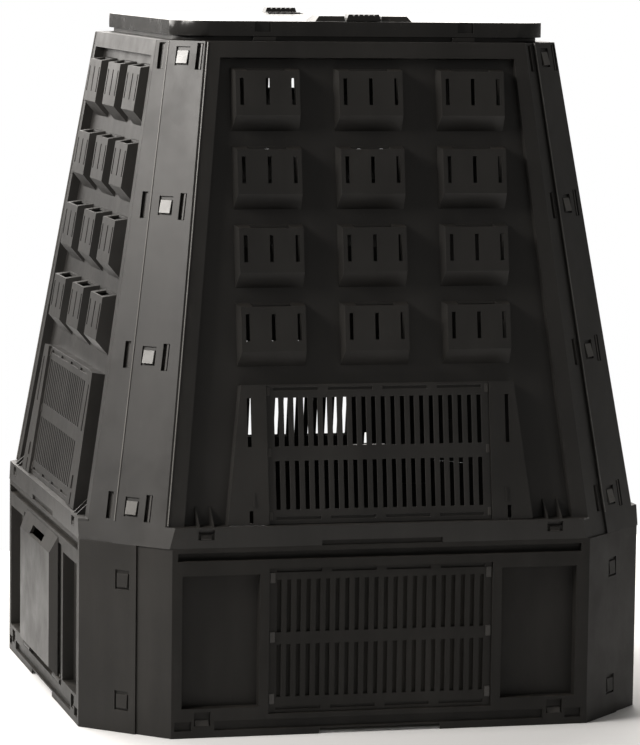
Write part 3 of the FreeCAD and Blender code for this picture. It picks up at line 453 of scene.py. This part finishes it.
def slot_shade_sheets():
    """Sheets behind the corner slots and behind the latch windows of the skirt: painted shade for
    the inside of the bin.
    """
    blocks = corner_blocks(UPPER_CORNER, UPPER_ROWS, WIDE_SLOT_SHADE_SHEET, NARROW_SLOT_SHADE_SHEET)
    for quarter in QUARTERS:
        at = facing(BASE_FRONT, quarter)
        blocks.extend(block(at, LATCH_WINDOW_ROW, LATCH_WINDOW_SHADE_SHEET, side) for side in SIDES)
    return blocks


def grille_clips():
    """Snap clips beside the grilles, at the foot of the base and under the skirt."""
    blocks = []
    for quarter in QUARTERS:
        upper = facing(UPPER_FRONT, quarter)
        for side in SIDES:
            blocks.extend(block(upper, row, UPPER_CLIP, side) for row in UPPER_CLIP_ROWS)
        base = facing(BASE_FRONT, quarter)
        for side in SIDES:
            blocks.append(block(base, FOOT_CLIP_ROW, FOOT_CLIP, side))
            blocks.append(block(base, SKIRT_CATCH_ROW, SKIRT_CATCH, side))
    for quarter in GRILLE_QUARTERS:
        base = facing(BASE_FRONT, quarter)
        for side in SIDES:
            blocks.extend(block(base, row, LOW_CLIP, side) for row in LOW_CLIP_ROWS)
    return blocks


def seam_highlight_bars():
    """Thin pale bars along the two seams of each upper corner: painted highlights."""
    blocks = []
    for quarter in QUARTERS:
        turn = side_turn(quarter)
        blocks.extend(bar(turn @ Vector(foot), turn @ Vector(head)) for foot, head in SEAM_HIGHLIGHT_LINES)
    return blocks


def add_mouldings():
    """Every small moulding, each kind as one piece."""
    upper_rows = [row - TONGUE_DROP for row in UPPER_ROWS]
    low_rows = [row - TONGUE_DROP for row in LOW_ROWS]
    tongues = corner_blocks(UPPER_CORNER, upper_rows, UPPER_TONGUE)
    low_tongues = corner_blocks(BASE_CORNER, low_rows, LOW_TONGUE)
    ribs = corner_blocks(UPPER_CORNER, UPPER_ROWS, WIDE_SLOT_RIB, NARROW_SLOT_RIB)
    # Dark sheets behind the base grilles: painted shade inside the bin
    grille_shades = [
        block(facing(BASE_FRONT, quarter), GRILLE_SHADE_ROW, GRILLE_SHADE_SHEET) for quarter in GRILLE_QUARTERS
    ]
    notches = [block(facing(LID_FRONT), NOTCH_ROW, NOTCH_BACKING, side) for side in SIDES]
    # The upper clip tongues carry a painted highlight
    add_piece("clip_tongues", "bin", TONGUE_HIGHLIGHT, tongues, TONGUE_ROUNDING)
    add_piece("low_clip_tongues", "bin", BASE, low_tongues, TONGUE_ROUNDING)
    # Pale bars along the corner seams: painted highlights
    add_piece("seam_highlight_bars", "bin", SEAM_HIGHLIGHT, seam_highlight_bars(), LINE_ROUNDING)
    add_piece("grille_shade_sheets", "bin", GRILLE_SHADE, grille_shades)
    add_piece("notch_backings", "lid", LID, notches)
    # Sheets behind the slots and windows: painted shade
    add_piece("slot_shade_sheets", "bin", LIT_RIB, slot_shade_sheets())
    add_piece("slot_ribs", "bin", LIT_RIB, ribs)
    add_piece("grille_clips", "bin", LIT_RIB, grille_clips())


# Floor: edges and level in metres, colours

FLOOR_EDGES = (-2.2, 2.2, -1.5, 1.5)
FLOOR_LEVEL = -0.0005
PAPER = (0.92, 0.92, 0.92)
PAPER_SHADE = 0.985
PAPER_ROUGHNESS = 0.9
PAPER_SHINE = 0.1
# Painted shade: dark floor colour inside the bin's footprint
FOOTPRINT_SHADE = (0.10, 0.095, 0.085)
CHAMFER_SHARE = 0.5765
FOOTPRINT_EDGE = (0.47, 0.48)


def floor_paper():
    """Pale matt paper, with painted shade inside the footprint of the bin."""
    shader = Shader("floor_paper")
    cloud = shader.ramp(shader.noise(*PAPER_CLOUDS), *PAPER_RANGE)
    tint = shader.blend(cloud, PAPER, tuple(PAPER_SHADE * part for part in PAPER))
    place = shader.split(shader.place)
    sides = [shader.math("ABSOLUTE", place[axis], 0) for axis in ("X", "Y")]
    diagonal = shader.math("MULTIPLY", shader.math("ADD", *sides), CHAMFER_SHARE)
    widest = shader.math("MAXIMUM", shader.math("MAXIMUM", *sides), diagonal)
    # Painted shade on the floor under the bin, fading out at the footprint's edge
    inside = shader.ramp(widest, *FOOTPRINT_EDGE, 1, 0)
    tint = shader.blend(inside, tint, FOOTPRINT_SHADE)
    shader.link(tint, shader.surface.inputs["Base Color"])
    shader.surface.inputs["Roughness"].default_value = PAPER_ROUGHNESS
    shader.surface.inputs["Specular IOR Level"].default_value = PAPER_SHINE
    return shader.material


def lay_floor():
    """A pale floor under and behind the bin."""
    mesh = bpy.data.meshes.new("floor")
    left, right, front, rear = FLOOR_EDGES
    corners = [(left, front, 0), (right, front, 0), (right, rear, 0), (left, rear, 0)]
    mesh.from_pydata(corners, [], [(0, 1, 2, 3)])
    mesh.materials.append(floor_paper())
    floor = bpy.data.objects.new("floor", mesh)
    floor.location.z = FLOOR_LEVEL
    scene.collection.objects.link(floor)


# Lights, in metres and watts

WARM = (1.0, 0.965, 0.925)
Softbox = namedtuple("Softbox", "name place aim size power")
SOFTBOXES = (
    Softbox("left_softbox", (-3.9, -1.15, 3.0), (0, 0, 1.1), (2.2, 1.3), 250),
    Softbox("back_screen", (-1.5, 5.4, 2.7), (0, 0, 0.8), (9.0, 3.0), 250),
    Softbox("top_softbox", (-0.2, 2.4, 4.0), (0, 1.5, 0), (4.0, 3.4), 300),
)
ROOM_COLOUR = (1.0, 0.97, 0.93, 1)
ROOM_STRENGTH = 0.17
WHITE = (1, 1, 1, 1)
WHITE_STRENGTH = 1.0


def hang_softbox(softbox):
    """A rectangular soft light aimed at a point."""
    data = bpy.data.lights.new(softbox.name, "AREA")
    data.shape = "RECTANGLE"
    data.size, data.size_y = softbox.size
    data.energy = softbox.power
    data.color = WARM
    light = bpy.data.objects.new(softbox.name, data)
    light.location = softbox.place
    reach = Vector(softbox.aim) - Vector(softbox.place)
    light.rotation_euler = reach.to_track_quat("-Z", "Y").to_euler()
    light.visible_camera = False
    scene.collection.objects.link(light)


def background(tree, colour, strength):
    """The output of one background node."""
    node = tree.nodes.new("ShaderNodeBackground")
    node.inputs["Color"].default_value = colour
    node.inputs["Strength"].default_value = strength
    return node.outputs["Background"]


def set_world():
    """White behind the bin for the camera, a dim even room for everything else."""
    world = bpy.data.worlds.new("room")
    scene.world = world
    world.use_nodes = True
    tree = world.node_tree
    tree.nodes.clear()
    output = tree.nodes.new("ShaderNodeOutputWorld")
    mix = tree.nodes.new("ShaderNodeMixShader")
    path = tree.nodes.new("ShaderNodeLightPath")
    factor, unseen, seen = mix.inputs
    tree.links.new(path.outputs["Is Camera Ray"], factor)
    tree.links.new(background(tree, ROOM_COLOUR, ROOM_STRENGTH), unseen)
    tree.links.new(background(tree, WHITE, WHITE_STRENGTH), seen)
    tree.links.new(mix.outputs["Shader"], output.inputs["Surface"])


# The picture

scene.view_settings.view_transform = "Standard"
place_camera()
finish_nodes()
add_mouldings()
lay_floor()
set_world()
for softbox in SOFTBOXES:
    hang_softbox(softbox)
